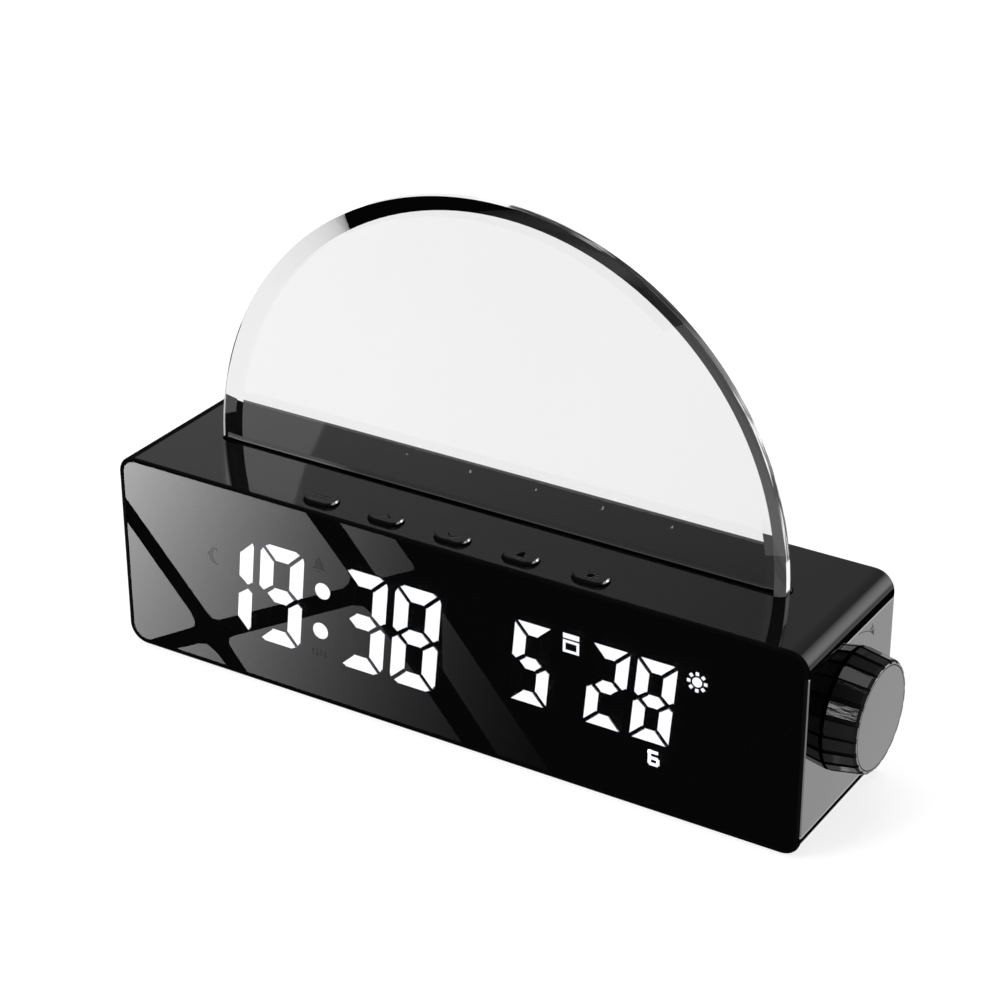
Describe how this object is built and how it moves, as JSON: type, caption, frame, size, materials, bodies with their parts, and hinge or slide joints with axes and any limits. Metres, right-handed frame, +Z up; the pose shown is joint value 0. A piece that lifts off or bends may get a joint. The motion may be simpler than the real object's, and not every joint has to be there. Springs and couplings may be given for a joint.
{
  "type": "sunrise alarm clock",
  "caption": "Low block clock with a dark lit-digit window, a clear half-round light guide standing in its top, push buttons on top and a fluted knob on the right end.",
  "frame": {"origin": "on the table, under the middle of the body, on the face of the non-slip mat", "axes": "+Z up, -Y towards the user (the window's side), +X towards the end with the knob"},
  "size_m": [0.198, 0.0444, 0.1318],
  "materials": {
    "housing_black": "gloss",
    "window_dark": "polished",
    "end_grey": "gloss",
    "cover_black": "fine texture",
    "rubber_black": "matt",
    "clear_acrylic": "polished, bevelled edge",
    "holder_black": "matt",
    "board_black": "solder mask",
    "led_warm": "gloss",
    "led_white": "gloss",
    "reflector_black": "matt",
    "bar_lit": "diffusing",
    "bar_unlit": "diffusing",
    "switch_black": "matt",
    "button_black": "satin",
    "knob_grey": "satin",
    "steel": "plain",
    "chip_black": "matt",
    "paper_grey": "pressed paper",
    "ferrite": "matt",
    "cell_steel": "polished"
  },
  "bodies": {
    "clock": {"backup_cell": "cell_steel", "base_mat": "rubber_black", "board_chips": "chip_black", "board_screws": "steel", "button_board": "board_black", "button_switches": "switch_black", "cell_holder": "switch_black", "cover_screws": "steel", "date_bars": "bar_lit", "display_board": "board_black", "display_leds": "led_white", "display_reflector": "reflector_black", "encoder": "steel", "encoder_nut": "steel", "encoder_washer": "steel", "guide_holder": "holder_black", "holder_screws": "steel", "housing": "housing_black", "left_end_panel": "end_grey", "light_guide": "clear_acrylic", "main_board": "board_black", "power_socket": "steel", "rear_cover": "cover_black", "right_end_panel": "end_grey", "speaker_cone": "paper_grey", "speaker_frame": "steel", "speaker_magnet": "ferrite", "strip_board": "board_black", "strip_leds": "led_warm", "time_bars": "bar_lit", "unlit_bars": "bar_unlit", "window": "window_dark"},
    "knob": {"knob": "knob_grey", "encoder_shaft": "steel"},
    "mode_button": {"mode_button": "button_black"},
    "up_button": {"up_button": "button_black"},
    "down_button": {"down_button": "button_black"},
    "alarm_button": {"alarm_button": "button_black"},
    "light_button": {"light_button": "button_black"}
  },
  "joints": [
    {"name": "knob_turn", "type": "hinge", "parent": "clock", "child": "knob", "pos_m": [0.095, 0, 0.0288], "axis": [1, 0, 0], "continuous": true},
    {"name": "mode_button_press", "type": "slide", "parent": "clock", "child": "mode_button", "axis": [0, 0, -1], "range_m": [0, 0.0006], "stiffness_N_per_m": 400, "springref_m": -0.0005},
    {"name": "up_button_press", "type": "slide", "parent": "clock", "child": "up_button", "axis": [0, 0, -1], "range_m": [0, 0.0006], "stiffness_N_per_m": 400, "springref_m": -0.0005},
    {"name": "down_button_press", "type": "slide", "parent": "clock", "child": "down_button", "axis": [0, 0, -1], "range_m": [0, 0.0006], "stiffness_N_per_m": 400, "springref_m": -0.0005},
    {"name": "alarm_button_press", "type": "slide", "parent": "clock", "child": "alarm_button", "axis": [0, 0, -1], "range_m": [0, 0.0006], "stiffness_N_per_m": 400, "springref_m": -0.0005},
    {"name": "light_button_press", "type": "slide", "parent": "clock", "child": "light_button", "axis": [0, 0, -1], "range_m": [0, 0.0006], "stiffness_N_per_m": 400, "springref_m": -0.0005}
  ]
}
